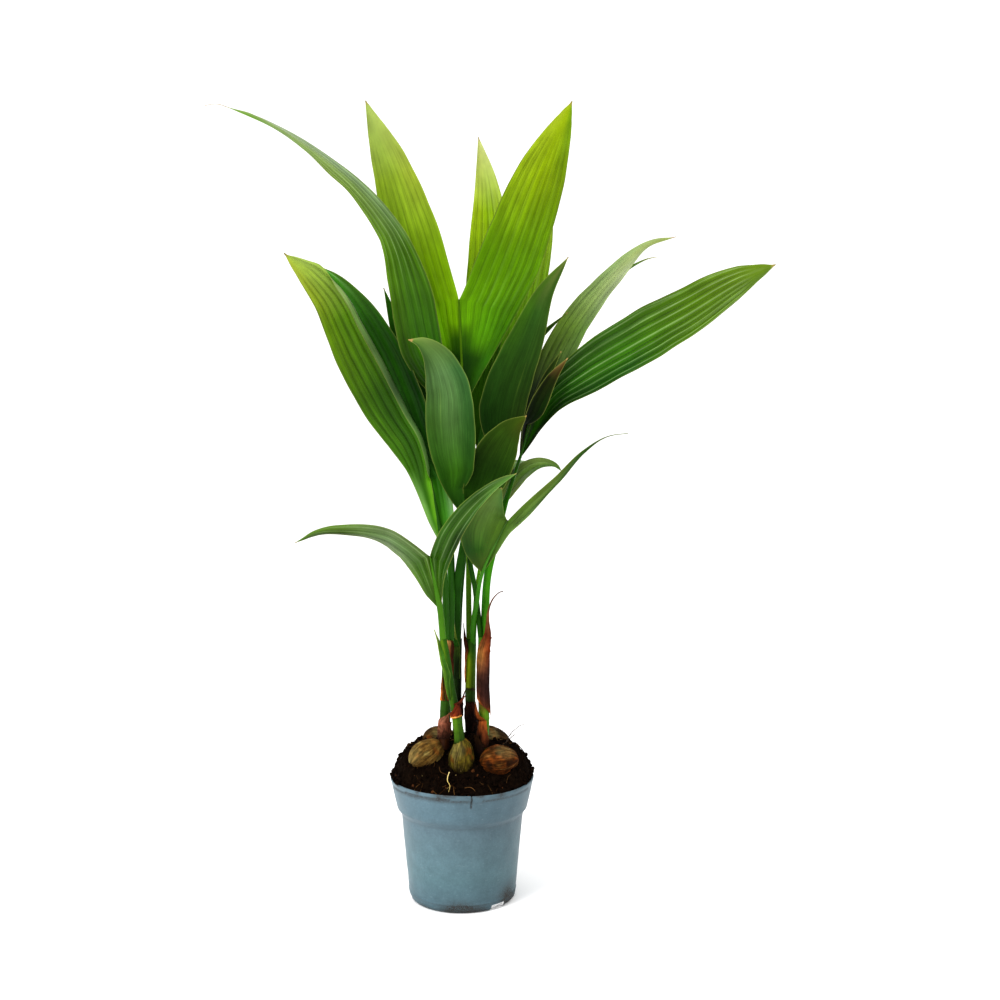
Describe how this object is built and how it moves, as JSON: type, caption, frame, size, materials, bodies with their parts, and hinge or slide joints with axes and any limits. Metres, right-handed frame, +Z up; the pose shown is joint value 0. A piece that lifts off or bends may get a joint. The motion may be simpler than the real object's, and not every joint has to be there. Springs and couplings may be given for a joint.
{
  "type": "potted palm",
  "caption": "Young palm seedlings with pleated two-lobed leaves, each sprouting from a fibrous nut on dark soil in a thin tapered nursery pot with a collar rim.",
  "frame": {"origin": "centre of the pot's flat underside, on the floor", "axes": "+Z up along the pot's axis, +X to the right and +Y to the back, as seen from the front"},
  "size_m": [0.4508, 0.2289, 0.7123],
  "materials": {
    "pot": "thin satin grey-blue nursery plastic, faintly mottled, dusty at the foot",
    "soil": "coarse dark potting compost with fibres",
    "nut": "dry fibrous husk, brown to orange",
    "nut_green": "fibrous husk with an olive tint",
    "stem": "smooth green leaf bases, waxy",
    "leaf_young": "thin pleated leaf, bright yellow-green, soft gloss",
    "leaf": "thin pleated leaf, mid green, soft gloss",
    "leaf_old": "thin pleated leaf, dark green, matt underside",
    "sheath_green": "olive leaf sheath",
    "sheath_dry": "dry papery sheath, brown and orange",
    "root": "pale dry rootlet"
  },
  "bodies": {
    "root": {"pot": "pot", "soil": "soil", "nut_front_left": "nut", "nut_front_middle": "nut_green", "nut_front_right": "nut", "nut_back_left": "nut", "nut_back_right": "nut", "stem_front_middle": "stem", "stem_front_left": "stem", "stem_back_left": "stem", "stem_back_right": "stem", "stem_front_right": "stem", "sheath_front_middle": "sheath_green", "sheath_base_front_middle": "sheath_dry", "sheath_front_left": "sheath_dry", "sheath_base_front_left": "sheath_dry", "sheath_back_left": "sheath_green", "flake_back_left": "sheath_dry", "sheath_back_right": "sheath_dry", "sheath_base_back_right": "sheath_dry", "sheath_front_right": "sheath_dry", "sheath_base_front_right": "sheath_dry", "leaf_tall": "leaf_young", "leaf_tall_back": "leaf_young", "leaf_arching_left": "leaf", "leaf_left": "leaf", "leaf_centre_front": "leaf_old", "leaf_centre_back": "leaf_old", "leaf_right": "leaf", "leaf_folded": "leaf_old", "leaf_low_right": "leaf", "leaf_low_left": "leaf", "leaf_small_back": "leaf", "root_front": "root", "root_right_low": "root", "root_right_high": "root"}
  },
  "joints": []
}
